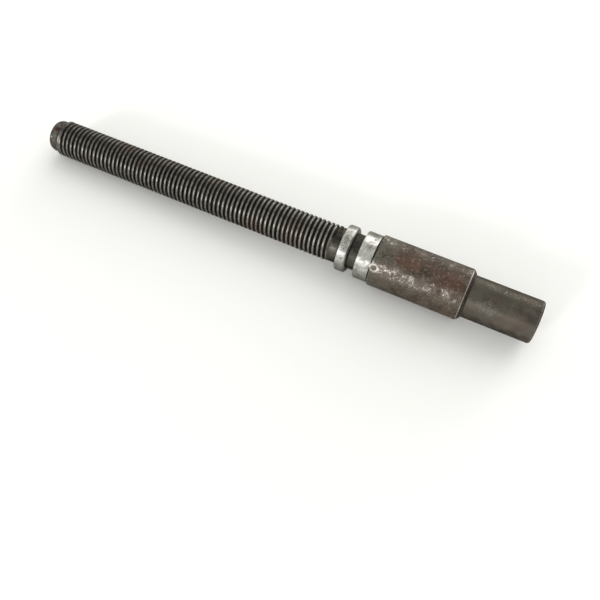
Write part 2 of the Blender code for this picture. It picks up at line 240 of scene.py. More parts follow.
def radial_place(x, angle):
    """Takes the local X axis to the direction away from the screw's axis at an angle."""
    across = Vector((0, cos(angle), sin(angle)))
    along = Vector((1, 0, 0))
    third = across.cross(along)
    turn = Matrix((across, along, third)).transposed().to_4x4()
    return Matrix.Translation((x * MM, 0, 0)) @ turn


def smoothstep(low, high, value):
    t = min(1.0, max(0.0, (value - low) / (high - low)))
    return t * t * (3 - 2 * t)


def unevenness(x, angle, radius, grain, seed):
    """Smooth noise between about -1 and 1 on a round surface. grain is its size in millimetres."""
    point = Vector((x, radius * cos(angle), radius * sin(angle))) / grain
    return noise.noise(point + Vector((seed * 17.3, seed * 5.1, seed * 9.7)))


# ---------------------------------------------------------------- materials


def rgb(red, green, blue):
    """A display colour, 0 to 255, as a linear one."""
    def linear(c):
        c /= 255
        return c / 12.92 if c <= 0.04045 else ((c + 0.055) / 1.055) ** 2.4
    return (linear(red), linear(green), linear(blue), 1.0)


# What every finish reflects at a low angle: less than new metal does, since most of it is oxidised.
EDGE_TINT = (0.38, 0.36, 0.335, 1.0)


class Finish:
    """A material's node tree, with short names for the nodes used here."""

    def __init__(self, name, metallic=0.0):
        self.material = bpy.data.materials.new(name)
        self.material.use_nodes = True
        self.tree = self.material.node_tree
        self.shader = self.tree.nodes["Principled BSDF"]
        self.shader.inputs["Metallic"].default_value = metallic
        self.shader.inputs["Specular Tint"].default_value = EDGE_TINT
        place = self.add("ShaderNodeTexCoord").outputs["Object"]
        self.millimetres = self.vector("SCALE", place, scale=1 / MM)
        split = self.add("ShaderNodeSeparateXYZ", self.millimetres)
        self.x, y, z = split.outputs
        self.angle = self.math("ARCTAN2", y, z)  # from +Z towards +Y, so its seam is at the bottom
        self.radius = self.length(y, z)

    def add(self, kind, *values, **settings):
        node = self.tree.nodes.new(kind)
        for key, value in settings.items():
            setattr(node, key, value)
        for socket, value in zip(node.inputs, values):
            self.put(socket, value)
        return node

    def put(self, socket, value):
        if isinstance(value, bpy.types.NodeSocket):
            self.tree.links.new(value, socket)
        elif value is not None:
            socket.default_value = value

    def math(self, operation, *values):
        return self.add("ShaderNodeMath", *values, operation=operation).outputs[0]

    def joined(self, operation, first, *others):
        """All the values joined by one operation, in order."""
        made = first
        for other in others:
            made = self.math(operation, made, other)
        return made

    def every(self, *factors):
        return self.joined("MULTIPLY", *factors)

    def most(self, *factors):
        return self.joined("MAXIMUM", *factors)

    def length(self, a, b):
        """The length of what goes a one way and b across it."""
        return self.math("SQRT", self.math("ADD", self.every(a, a), self.every(b, b)))

    def vector(self, operation, *values, scale=None):
        node = self.add("ShaderNodeVectorMath", *values, operation=operation)
        if scale is not None:
            node.inputs["Scale"].default_value = scale
        return node.outputs[0]

    def step(self, value, low, high, start=0.0, end=1.0):
        """A smooth change from start to end as the value goes from low to high."""
        node = self.add("ShaderNodeMapRange", value, low, high, start, end)
        node.interpolation_type = "SMOOTHSTEP"
        return node.outputs[0]

    def band(self, value, middle, half, soft):
        """1 within half of the middle, falling to 0 over the soft width outside it."""
        away = self.math("ABSOLUTE", self.math("SUBTRACT", value, middle))
        return self.step(away, half, half + soft, 1.0, 0.0)

    def strip(self, degrees, half, soft):
        """A band along the axis, with its middle at an angle from +Y towards +Z, all in degrees."""
        return self.band(self.angle, radians(90 - degrees), radians(half), radians(soft))

    def noise(self, size, detail=4.0, roughness=0.55, stretch=None, seed=0.0, distortion=0.0):
        """Noise of about a size in millimetres. With stretch=(along, around) it lies on the turned
        surface and is longer by those factors along the axis and round it."""
        if stretch:
            along, around = stretch
            place = self.add(
                "ShaderNodeCombineXYZ",
                self.math("DIVIDE", self.x, along),
                self.math("DIVIDE", self.every(self.angle, self.radius), around),
                self.radius,
            ).outputs[0]
        else:
            place = self.millimetres
        moved = self.vector("ADD", place, (seed * 31.7, seed * 11.3, seed * 7.9))
        node = self.add("ShaderNodeTexNoise", moved)
        node.inputs["Scale"].default_value = 1 / size
        node.inputs["Detail"].default_value = detail
        node.inputs["Roughness"].default_value = roughness
        node.inputs["Distortion"].default_value = distortion
        return node.outputs["Fac"]

    def spot(self, station, degrees, long, wide, ragged=0.35):
        """1 on a spot with ragged edges, 0 off it. Its middle is at a station and at an angle from +Y
        towards +Z. It is long along the axis and wide round it, in millimetres."""
        along = self.math("DIVIDE", self.math("SUBTRACT", self.x, SHAFT_START + station), long / 2)
        turn = self.math("SUBTRACT", self.angle, radians(90 - degrees))
        around = self.math("DIVIDE", self.every(turn, self.radius), wide / 2)
        grain = self.noise(min(long, wide) / 3, detail=4, seed=station)
        uneven = self.every(self.math("SUBTRACT", grain, 0.5), ragged * 6)
        away = self.math("ADD", self.length(along, around), uneven)
        return self.step(away, 0.55, 1.35, 1.0, 0.0)

    def specks(self, spacing, size, seed):
        """Small round spots, 1 inside and 0 outside, about a spacing apart in millimetres."""
        moved = self.vector("ADD", self.millimetres, (seed * 23.1, seed * 3.7, seed * 13.9))
        node = self.add("ShaderNodeTexVoronoi", moved)
        node.inputs["Scale"].default_value = 1 / spacing
        away = self.math("MULTIPLY", node.outputs["Distance"], spacing)
        return self.step(away, size * 0.6, size * 1.4, 1.0, 0.0)

    def between(self, kind, sockets, factor, first, second):
        """A Mix node of a kind. sockets are the numbers of its two inputs and its output."""
        node = self.tree.nodes.new("ShaderNodeMix")
        node.data_type = kind
        low, high, out = sockets
        self.put(node.inputs["Factor"], factor)
        self.put(node.inputs[low], first)
        self.put(node.inputs[high], second)
        return node.outputs[out]

    def mix(self, factor, first, second):
        """A colour between two."""
        return self.between("RGBA", (6, 7, 2), factor, first, second)

    def blend(self, factor, first, second):
        """A number between two."""
        return self.between("FLOAT", (2, 3, 0), factor, first, second)

    def finish(self, colour, roughness=None, metallic=None, height=None, relief=0.05):
        """Joins the results to the shader. height is in units of relief, which is in millimetres."""
        self.put(self.shader.inputs["Base Color"], colour)
        self.put(self.shader.inputs["Roughness"], roughness)
        self.put(self.shader.inputs["Metallic"], metallic)
        if height is not None:
            bump = self.add("ShaderNodeBump")
            bump.inputs["Strength"].default_value = 1.0
            bump.inputs["Distance"].default_value = relief * MM
            self.put(bump.inputs["Height"], height)
            self.put(self.shader.inputs["Normal"], bump.outputs[0])
        return self.material


def threaded_steel():
    """The thread has oxide and old grease in its track, and its lands are rubbed to bare metal. Along
    the top it is painted darker, as shade. The shank is darker, with a painted highlight and painted
    light on its near side. The tip is plain with a rust spot, a bright nick and a painted highlight on
    the first land."""
    f = Finish("threaded steel", 0.85)
    grime = f.noise(9, seed=1)
    fine = f.noise(0.6, detail=4, roughness=0.65, seed=2)
    tint = f.noise(34, detail=2, seed=3)
    valley = f.mix(f.step(grime, 0.35, 0.65), rgb(18, 17, 14), rgb(40, 37, 31))
    valley = f.mix(f.step(tint, 0.54, 0.66), valley, rgb(44, 34, 28))
    land = f.mix(f.step(f.noise(3.5, seed=4), 0.35, 0.7), rgb(92, 90, 84), rgb(134, 132, 126))
    to_collar = f.step(f.x, SHAFT_START + 180, SHAFT_START + 280, 0.0, 0.3)
    land = f.mix(to_collar, land, rgb(158, 156, 150))
    land = f.mix(f.every(f.step(tint, 0.56, 0.7), 0.45), land, rgb(98, 86, 76))
    land = f.mix(f.every(f.step(fine, 0.51, 0.62), 0.75), land, rgb(62, 59, 53))
    land = f.mix(f.every(f.step(fine, 0.45, 0.34), 0.6), land, rgb(178, 176, 171))
    height = f.step(f.radius, LAND_R - 1.15, LAND_R - 0.25)
    worn = f.every(height, f.step(f.noise(6, seed=5), 0.25, 0.5, 0.55, 1.0))
    colour = f.mix(worn, valley, land)

    shank = f.step(f.x, SHAFT_START + 339, SHAFT_START + 345)
    cloud = f.step(f.noise(5, detail=5, seed=9), 0.35, 0.65)
    rubbed = f.mix(cloud, rgb(45, 43, 37), rgb(68, 66, 60))
    rubbed = f.mix(f.every(f.step(fine, 0.5, 0.7), 0.6), rubbed, rgb(42, 38, 32))
    rubbed = f.mix(f.every(f.step(fine, 0.46, 0.34), 0.5), rubbed, rgb(104, 102, 96))
    # painted highlight on the shank's front, then painted light along its near side
    rubbed = f.mix(f.every(f.spot(345, 146, 10, 16, ragged=0.6), 0.5), rubbed, rgb(98, 96, 90))
    rubbed = f.mix(f.every(f.strip(158, 14, 10), 0.35), rubbed, rgb(84, 82, 74))
    colour = f.mix(shank, colour, rubbed)
    # painted shade: darker along the top of the thread and the shank
    painted_top_shade = f.every(f.strip(93, 7, 14), f.blend(shank, 0.42, 0.6))
    colour = f.mix(painted_top_shade, colour, rgb(30, 28, 24))

    tip = f.step(f.x, TIP_END - 0.4, TIP_END + 0.4, 1.0, 0.0)
    cloud = f.step(f.noise(4, detail=5, seed=6), 0.35, 0.65)
    plain = f.mix(cloud, rgb(76, 72, 66), rgb(104, 101, 95))
    plain = f.mix(f.every(f.step(fine, 0.5, 0.7), 0.5), plain, rgb(56, 53, 48))
    plain = f.mix(f.every(f.spot(7.2, 102, 6.5, 6), 0.9), plain, rgb(70, 45, 39))
    colour = f.mix(tip, colour, plain)
    # a bright nick near the end face, and a painted highlight along the first land
    bright = f.most(f.spot(2.5, 137, 2.4, 1.6), f.spot(13.4, 134, 1.6, 8, ragged=0.2))
    colour = f.mix(f.every(bright, 0.85), colour, rgb(194, 193, 188))
    roughness = f.blend(worn, 0.5, 0.36)
    roughness = f.blend(shank, roughness, 0.34)
    grain = f.math("ADD", fine, f.every(grime, 0.6))
    return f.finish(colour, roughness=roughness, height=grain, relief=0.02)


def ground_steel():
    """Bright cylindrical grinding, with fine lines round it, faint stains and a few pits, and dirt
    where the cover's spigot goes into the housing. It is painted darker on its lower front side and
    along its far edge as shade, with painted highlights on the cover's upper rear and on the collar's
    chamfer edge."""
    f = Finish("ground steel", 0.95)
    lines = f.noise(0.35, detail=3, stretch=(1, 60), seed=1)
    cloud = f.noise(6, detail=5, roughness=0.6, seed=2, distortion=0.4)
    stain = f.noise(4.5, detail=5, roughness=0.6, seed=3)
    fine = f.noise(0.7, detail=4, roughness=0.7, seed=7)
    colour = f.mix(f.step(cloud, 0.3, 0.7), rgb(162, 162, 157), rgb(200, 200, 195))
    colour = f.mix(f.every(f.step(stain, 0.5, 0.64), 0.6), colour, rgb(124, 120, 111))
    # painted shade: darker on the lower front side and along the far edge
    painted_underside_shade = f.step(f.angle, radians(-84), radians(-64), 0.5, 0.0)
    painted_far_shade = f.every(f.strip(54, 7, 9), 0.5)
    colour = f.mix(f.most(painted_underside_shade, painted_far_shade), colour, rgb(112, 110, 104))
    # painted highlight on the cover's upper rear, then painted shade next to it towards the far edge
    colour = f.mix(f.every(f.spot(379.5, 83, 15, 10, ragged=0.25), 0.8), colour, rgb(232, 232, 226))
    colour = f.mix(f.every(f.spot(380, 62, 16, 8, ragged=0.2), 0.5), colour, rgb(92, 90, 85))
    colour = f.mix(f.every(f.step(lines, 0.5, 0.8), 0.3), colour, rgb(104, 101, 95))
    colour = f.mix(f.every(f.step(fine, 0.52, 0.60), 0.7), colour, rgb(90, 88, 82))
    # a bright worn edge on the collar's chamfer, also a painted highlight, so it is kept to the side
    # towards +Y
    edge = f.every(
        f.band(f.x, COLLAR_END - COLLAR_CHAMFER, 0.15, 0.35),
        f.step(f.noise(5, seed=9), 0.35, 0.6),
        f.step(f.angle, radians(-12), radians(4)),
    )
    colour = f.mix(f.every(edge, 0.6), colour, rgb(232, 231, 226))
    tarnish = f.most(f.spot(381, 97, 9, 12, ragged=0.5), f.spot(357, 108, 7, 22, ragged=0.6))
    tarnish = f.every(tarnish, f.step(f.noise(1.6, detail=4, seed=8), 0.4, 0.6, 0.2, 0.8))
    colour = f.mix(tarnish, colour, rgb(104, 97, 84))
    pits = f.specks(8.5, 0.4, seed=4)
    small = f.every(f.specks(2.4, 0.17, seed=5), f.step(f.noise(9, seed=6), 0.48, 0.58))
    pitted = f.most(pits, small, f.spot(357.7, 150, 1.6, 2.2), f.spot(383, 76, 1.8, 2.6))
    colour = f.mix(f.every(pitted, 0.9), colour, rgb(40, 36, 31))
    rim_end = HOUSING_START - JOINT_GAP
    joint = f.every(
        f.step(f.x, rim_end - 0.25, rim_end + 0.05),
        f.step(f.x, COVER_END - 1, COVER_END, 1, 0),
        f.math("SUBTRACT", 1.0, f.spot(387.5, 141, 9, 9, ragged=0.2)),
    )
    colour = f.mix(joint, colour, rgb(26, 23, 19))
    roughness = f.math("ADD", f.step(stain, 0.4, 0.7, 0.31, 0.43), f.every(joint, 0.3))
    height = f.math("SUBTRACT", f.every(lines, 0.25), f.every(pitted, 1.5))
    height = f.math("ADD", height, f.every(fine, 0.7))
    return f.finish(colour, roughness=roughness, height=height, relief=0.03)


def oxidised_steel():
    """Brown mill scale and thin rust, greyer near the cover, rubbed and scratched to bare metal along
    one side, on its corners and round the lock screw. It is painted darker along the top and far side
    and lighter along the near side, the flake strips lie where the highlights fall with a painted
    sheen, and its chamfered end is painted dark as shade."""
    f = Finish("oxidised steel")
    base = f.noise(12, detail=5, roughness=0.55, seed=1)
    rust = f.noise(22, detail=4, roughness=0.5, seed=2)
    fine = f.noise(1.1, detail=4, roughness=0.62, seed=4)
    grain = f.noise(3.0, detail=5, roughness=0.6, seed=8)
    colour = f.mix(f.step(base, 0.32, 0.68), rgb(60, 54, 45), rgb(96, 87, 77))
    rusty = f.most(
        f.spot(422, 90, 34, 26, ragged=0.2),
        f.spot(466, 108, 32, 28, ragged=0.2),
        f.every(f.step(rust, 0.5, 0.64), 0.8),
    )
    colour = f.mix(f.every(rusty, 0.7), colour, rgb(93, 68, 58))
    # painted shade along the top and far side, then painted light along the near side
    colour = f.mix(f.every(f.strip(66, 18, 18), 0.58), colour, rgb(56, 50, 43))
    colour = f.mix(f.every(f.strip(157, 6, 9), 0.35), colour, rgb(114, 105, 95))
    near_cover = f.step(f.x, HOUSING_START + 8, HOUSING_START + 28, 1.0, 0.0)
    grey = f.most(
        f.every(near_cover, f.step(f.noise(8, detail=4, seed=3), 0.3, 0.5)),
        f.spot(428, 142, 26, 12, ragged=0.3),
    )
    colour = f.mix(f.every(grey, 0.75), colour, rgb(94, 93, 84))
    colour = f.mix(f.every(f.step(fine, 0.52, 0.60), 0.62), colour, rgb(48, 41, 34))
    mottle = f.noise(4.2, detail=5, roughness=0.65, seed=12, distortion=0.5)
    colour = f.mix(f.every(f.step(mottle, 0.54, 0.64), 0.4), colour, rgb(54, 49, 41))
    colour = f.mix(f.every(f.step(grain, 0.46, 0.36), 0.58), colour, rgb(118, 108, 98))

    # Small bright flakes of bare metal, many along the front strip and fewer along the upper one. Both
    # strips lie where the highlights fall, so they are worn metal placed by the light, with a painted
    # sheen.
    flakes = f.noise(2.5, detail=6, roughness=0.76, seed=6, distortion=0.9)
    side = f.strip(138, 6, 16)
    patches = f.step(f.noise(8, detail=4, roughness=0.6, seed=5), 0.38, 0.6)
    start = f.every(f.band(f.x, HOUSING_START + 18, 9, 10), 0.85)
    middle = f.every(f.band(f.x, HOUSING_START + 55, 12, 12), 0.6)
    end = f.every(f.band(f.x, HOUSING_START + 85, 8, 10), 0.8)
    dense = f.most(start, middle, end)
    dense = f.every(side, f.math("ADD", f.every(dense, 0.46), f.every(patches, 0.46)))
    upper = f.every(
        f.strip(63, 8, 12),
        f.step(f.noise(9, detail=3, seed=9), 0.44, 0.6),
        f.blend(near_cover, 0.35, 0.8),
    )
    dense = f.most(dense, upper)
    level = f.math("SUBTRACT", 0.66, f.every(dense, 0.18))
    scored = f.step(f.math("SUBTRACT", flakes, level), -0.005, 0.03)
    # painted sheen: a broad lighter tint along the flake strips
    colour = f.mix(f.every(dense, f.step(grain, 0.62, 0.4, 0.25, 0.75)), colour, rgb(132, 122, 114))
    marks = f.every(f.spot(428, 98, 13, 13), f.step(fine, 0.44, 0.36))
    colour = f.mix(f.every(marks, 0.7), colour, rgb(126, 108, 72))

    corner_x = HOUSING_END - HOUSING_CHAMFER
    corner = f.every(
        f.band(f.x, corner_x, 0.25, 0.4),
        f.step(f.radius, HOUSING_R - 0.7, HOUSING_R - 0.3),
        f.step(f.noise(2.5, detail=3, seed=10), 0.3, 0.5, 0.4, 0.9),
    )
    rim = f.every(f.band(f.x, HOUSING_START + 0.6, 0.3, 0.5), f.step(grain, 0.45, 0.6), 0.4)
    halo = f.spot(LOCK_STATION, LOCK_DEGREES, 7.8, 7.4, ragged=0.3)
    bridge = f.every(f.spot(LOCK_STATION - 3.5, 134, 5, 11, ragged=0.3), 0.7)
    bare = f.most(scored, corner, rim, halo, bridge)
    colour = f.mix(f.every(bare, 0.75), colour, rgb(186, 180, 174))
    colour = f.mix(f.every(halo, 0.4), colour, rgb(208, 204, 196))
    beside_joint = f.step(f.x, HOUSING_START + 0.6, HOUSING_START + 1.3, 1.0, 0.0)
    colour = f.mix(f.every(beside_joint, f.strip(88, 28, 14), 0.85), colour, rgb(34, 31, 26))
    # painted shade: the chamfered end face and what lies past it are darker
    face = f.step(f.x, corner_x + 0.5, corner_x + 1.0)
    colour = f.mix(f.every(face, 0.7), colour, rgb(48, 42, 37))
    roughness = f.blend(bare, f.step(base, 0.3, 0.7, 0.55, 0.45), 0.34)
    metallic = f.blend(bare, 0.5, 0.95)
    height = f.math("ADD", fine, f.every(grain, 1.5))
    return f.finish(colour, roughness=roughness, metallic=metallic, height=height, relief=0.05)


def sleeve_steel():
    """Smooth dark scale with a green-grey cast, a few rust patches and light flecks, painted darker
    along the top and far side as shade and lighter along the near side as light.
    """
    f = Finish("sleeve steel", 0.8)
    base = f.noise(10, detail=4, roughness=0.5, seed=11)
    green = f.noise(22, detail=3, seed=12)
    rust = f.noise(17, detail=4, roughness=0.5, seed=13)
    fine = f.noise(0.9, detail=4, roughness=0.6, seed=14)
    colour = f.mix(f.step(base, 0.32, 0.68), rgb(67, 62, 56), rgb(91, 86, 79))
    greener = f.most(f.step(green, 0.5, 0.66), f.spot(500, 92, 26, 40, ragged=0.2))
    colour = f.mix(f.every(greener, 0.6), colour, rgb(76, 76, 66))
    rusty = f.most(
        f.every(f.step(rust, 0.52, 0.66), 0.6),
        f.every(f.spot(513, 101, 11, 11), 0.75),
        f.every(f.spot(536, 145, 30, 14, ragged=0.25), 0.6),
    )
    colour = f.mix(f.every(rusty, 0.65), colour, rgb(84, 64, 58))
    colour = f.mix(f.every(f.step(fine, 0.52, 0.62), 0.5), colour, rgb(53, 48, 42))
    # painted shade along the top and far side, then painted light along the near side
    colour = f.mix(f.every(f.strip(70, 20, 18), 0.56), colour, rgb(56, 53, 47))
    colour = f.mix(f.every(f.strip(151, 13, 14), 0.36), colour, rgb(114, 108, 99))
    light = f.every(f.spot(508, 134, 20, 13, ragged=0.5), f.step(fine, 0.56, 0.4, 0.0, 0.55))
    colour = f.mix(light, colour, rgb(132, 126, 118))
    along = f.every(f.strip(74, 5, 8), f.step(f.x, SLEEVE_END - 70, SLEEVE_END - 50))
    patches = f.step(f.noise(10, seed=16), 0.56, 0.7)
    share = f.most(f.every(along, 0.8), f.every(patches, 0.4))
    flecks = f.every(share, f.step(f.noise(1.3, detail=5, roughness=0.72, seed=15), 0.56, 0.64))
    colour = f.mix(f.every(flecks, 0.75), colour, rgb(160, 155, 145))
    worn = f.step(f.noise(3, seed=17), 0.4, 0.6, 0.2, 0.7)
    corner = f.every(f.band(f.x, SLEEVE_END - 1.5, 0.3, 0.4), worn)
    colour = f.mix(corner, colour, rgb(128, 120, 112))
    roughness = f.step(base, 0.3, 0.7, 0.51, 0.43)
    return f.finish(colour, roughness=roughness, height=fine, relief=0.025)


def dark_steel():
    """Smooth black oxide, mottled grey-green, painted lighter along the near side as light and darkest
    along the top as shade.
    """
    f = Finish("dark steel", 0.85)
    cloud = f.noise(4, detail=5, roughness=0.6, seed=21)
    fine = f.noise(0.6, detail=4, roughness=0.7, seed=22)
    colour = f.mix(f.step(cloud, 0.35, 0.68), rgb(48, 47, 42), rgb(73, 72, 65))
    colour = f.mix(f.every(f.step(fine, 0.53, 0.68), 0.4), colour, rgb(88, 85, 76))
    # painted light along the near side, then painted shade along the top
    colour = f.mix(f.every(f.strip(158, 13, 12), 0.4), colour, rgb(96, 94, 86))
    colour = f.mix(f.every(f.strip(93, 9, 14), 0.4), colour, rgb(32, 30, 26))
    roughness = f.step(cloud, 0.3, 0.7, 0.46, 0.54)
    return f.finish(colour, roughness=roughness, height=fine, relief=0.012)


def bearing_steel():
    """Polished bearing steel with very fine lines."""
    f = Finish("bearing steel", 1.0)
    lines = f.noise(0.3, detail=2, stretch=(1, 50), seed=31)
    colour = f.mix(lines, rgb(190, 191, 194), rgb(212, 213, 216))
    roughness = f.step(lines, 0.3, 0.7, 0.12, 0.22)
    return f.finish(colour, roughness=roughness, height=lines, relief=0.005)


def cage_brass():
    """Machined brass with turning lines and a little tarnish."""
    f = Finish("cage brass", 1.0)
    lines = f.noise(0.4, detail=2, stretch=(1, 40), seed=41)
    tarnish = f.noise(3, detail=4, seed=42)
    colour = f.mix(f.step(tarnish, 0.4, 0.7), rgb(196, 158, 82), rgb(150, 116, 60))
    roughness = f.step(tarnish, 0.3, 0.7, 0.28, 0.42)
    return f.finish(colour, roughness=roughness, height=lines, relief=0.01)


def seal_rubber():
    """Matt black rubber with a fine moulded grain."""
    f = Finish("seal rubber")
    grain = f.noise(0.25, detail=3, seed=51)
    colour = f.mix(grain, rgb(22, 22, 22), rgb(38, 38, 37))
    roughness = f.step(grain, 0.3, 0.7, 0.62, 0.8)
    return f.finish(colour, roughness=roughness, height=grain, relief=0.03)


def fastener_steel():
    """Black oxide on turned fasteners, rubbed lighter in patches."""
    f = Finish("fastener steel", 0.8)
    cloud = f.noise(2.5, detail=4, seed=61)
    rub = f.noise(1.2, detail=4, roughness=0.65, seed=62)
    colour = f.mix(cloud, rgb(72, 69, 62), rgb(104, 100, 92))
    colour = f.mix(f.step(rub, 0.56, 0.68), colour, rgb(132, 128, 120))
    roughness = f.step(cloud, 0.3, 0.7, 0.34, 0.5)
    return f.finish(colour, roughness=roughness, height=rub, relief=0.02)


FINISHES = {
    "threaded_steel": threaded_steel(),
    "ground_steel": ground_steel(),
    "oxidised_steel": oxidised_steel(),
    "sleeve_steel": sleeve_steel(),
    "dark_steel": dark_steel(),
    "bearing_steel": bearing_steel(),
    "cage_brass": cage_brass(),
    "seal_rubber": seal_rubber(),
    "fastener_steel": fastener_steel(),
}


# ---------------------------------------------------------------- the visible pieces


def stand_in(obj, body, node):
    """The object rides on a body and is shown in place of a CAD node."""
    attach(obj, body)
    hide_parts(node)


# One pitch of the thread, from a land's middle to the next, in millimetres.
LAND_EDGE = LEAD / 2 - TRACK_HALF_WIDTH
HALF_PITCH = [0.0, 0.42, LAND_EDGE - 0.12, LAND_EDGE + 0.02, LAND_EDGE + 0.17, LAND_EDGE + 0.7]
PITCH_ROWS = [*HALF_PITCH, LEAD / 2, *(LEAD - u for u in reversed(HALF_PITCH[1:]))]
THREAD_AROUND = 96


def track_profile(away):
    """How deep the ball track is, as a share of its depth, at a distance from its middle."""
    share = min(1.0, abs(away) / TRACK_HALF_WIDTH)
    return sqrt(1 - share * share)


def later_on_top(angle):
    """1 on the upper side towards +Y, where the track runs on to the collar, 0 on the lower side."""
    return smoothstep(0.75, 1.0, 0.5 + 0.5 * cos(angle - radians(60)))


def blank_radius(x, angle):
    """The turned bar before its track was cut."""
    start = min(1.0, max(0.0, (x - TIP_END) / RAMP))
    first = SHAFT_START + SHOULDER + LATER * later_on_top(angle)
    shoulder = smoothstep(first, first + SHOULDER_LENGTH, x)
    return TIP_R + (LAND_R - TIP_R) * start + (SHANK_R - LAND_R) * shoulder


def thread_radius(x, angle):
    """The radius of the threaded part: the bar less the helical track, which starts and ends
    gradually, with slightly uneven lands that are rounded at their edges."""
    first_land = SHAFT_START + LAND_AT + LEAD * angle / tau
    turn = (x - first_land) // LEAD
    track_middle = first_land + (turn + 0.5) * LEAD
    run_in = smoothstep(SHAFT_START + CUT_IN, SHAFT_START + CUT_IN_END, track_middle)
    fade = SHAFT_START + CUT_OUT + LATER * later_on_top(angle)
    run_out = 1 - smoothstep(fade, fade + CUT_OUT_LENGTH, track_middle)
    away = x - track_middle
    crown = CROWN * smoothstep(0.2, LAND_EDGE, LEAD / 2 - abs(away))
    depth = TRACK_DEPTH * track_profile(away)
    rub = 0.035 * unevenness(x, angle, LAND_R, 2.2, 1) + 0.03 * unevenness(x, angle, LAND_R, 9, 2)
    wear = 0.03
    cut_to = LAND_R - (depth + crown) * run_in * run_out
    return min(blank_radius(x, angle), cut_to) - wear + rub


def spindle():
    """The whole screw as one closed surface: straight rows for the tip and journals, and rows that
    follow the helix between them."""
    hole_bottom = SHAFT_START + 4.5
    tip = rounded([
        (hole_bottom, 0, 0),
        (SHAFT_START + 0.4, 4.6, 0.15),
        (SHAFT_START, 5.3, 0.1),
        (SHAFT_START, TIP_R - 1.3, 0.5),
        (SHAFT_START + 3.0, TIP_R, 0.8),
        (TRACK_START, TIP_R, 0),
    ], closed=False)
    shoulder = COLLAR_START + 0.1
    drive_start = SLEEVE_START - 0.3
    stem = rounded([
        (TRACK_END, SHANK_R, 0),
        (shoulder, SHANK_R, 0.2),
        (shoulder, JOURNAL_R, 0.3),
        (drive_start, JOURNAL_R, 0.3),
        (drive_start, DRIVE_R, 0.3),
        (SHAFT_END, DRIVE_R, 0.8),
        (SHAFT_END, 0, 0),
    ], closed=False)
    tip = divided(tip, 2.5)
    pitch_rows = len(PITCH_ROWS)
    rows = (ceil((TRACK_END - TRACK_START) / LEAD) + 2) * pitch_rows
    first = SHAFT_START + LAND_AT
    first -= LEAD * ceil((first - TRACK_START) / LEAD + 1)
    bm = bmesh.new()
    columns = []
    for k in range(THREAD_AROUND):
        angle = tau * k / THREAD_AROUND
        column = [bm.verts.new(on_axis(p.x, p.y, angle)) for p in tip]
        for i in range(rows + 1):
            x = first + LEAD * (i // pitch_rows + k / THREAD_AROUND) + PITCH_ROWS[i % pitch_rows]
            x = min(TRACK_END, max(TRACK_START, x))
            at_end = x in (TRACK_START, TRACK_END)
            radius = blank_radius(x, angle) if at_end else thread_radius(x, angle)
            column.append(bm.verts.new(on_axis(x, radius, angle)))
        column += [bm.verts.new(on_axis(p.x, p.y, angle)) for p in stem]
        columns.append(column)
    low, high = len(tip), len(tip) + rows
    for k in range(THREAD_AROUND):
        here, after = columns[k], columns[(k + 1) % THREAD_AROUND]
        shift = pitch_rows if k == THREAD_AROUND - 1 else 0
        for i in range(len(here) - 1):
            a, b = i, i + 1
            if low <= i < high:
                a, b = min(i + shift, high), min(i + 1 + shift, high)
            if i == low - 1:
                b = low + shift
            corners = (here[i], here[i + 1], after[b], after[a])
            if len(set(corners)) == 4 and b > a:
                bm.faces.new(corners)
            elif b == a:
                bm.faces.new((here[i], here[i + 1], after[a]))
    screw = finished("spindle", bm, FINISHES["threaded_steel"])
    start = SHAFT_START
    cut(
        screw,
        block("key_seat", (start + 469.7, -KEYWAY_HALF, 6.5), (start + 510.3, KEYWAY_HALF, 13)),
        block("tab_slot", (start + 432.5, -2.5, 10.9), (start + 447.0, 2.5, 14)),
        prism("tapped_hole", 24, 4.2, start + 522, SHAFT_END + 1, Matrix.Identity(4)),
    )
    stand_in(screw, "screw", "screw_shaft")


def collar():
    """The first bright ring, with a recess in its face for the end of the shank."""
    face = COLLAR_START + RELIEF
    recess_r = SHANK_R + RELIEF_GAP
    ring = turned("collar_ring", [
        (COLLAR_START, COLLAR_R - 0.8, 0.15),
        (COLLAR_START + 0.8, COLLAR_R, 0.25),
        (COLLAR_END - COLLAR_CHAMFER, COLLAR_R, 0.25),
        (COLLAR_END, COLLAR_R - 1.95, 0.2),
        (COLLAR_END, BORE_R, 0.3),
        (face, BORE_R, 0.3),
        (face, recess_r, 0),
        (COLLAR_START, recess_r, 0.1),
    ], FINISHES["ground_steel"])
    stand_in(ring, "screw", "thrust_collar")


def neck():
    """The sleeve that the seal runs on, with a thinner foot against the bearing."""
    foot = NECK_END - 4.3
    foot_r = 15.5
    sleeve = turned("neck_sleeve", [
        (NECK_START, NECK_R - 0.3, 0.1),
        (NECK_START + 0.3, NECK_R, 0.2),
        (foot, NECK_R, 0.2),
        (foot, foot_r, 0.2),
        (NECK_END, foot_r, 0.2),
        (NECK_END, BORE_R, 0.2),
        (NECK_START, BORE_R, 0.2),
    ], FINISHES["dark_steel"])
    stand_in(sleeve, "screw", "seal_sleeve")


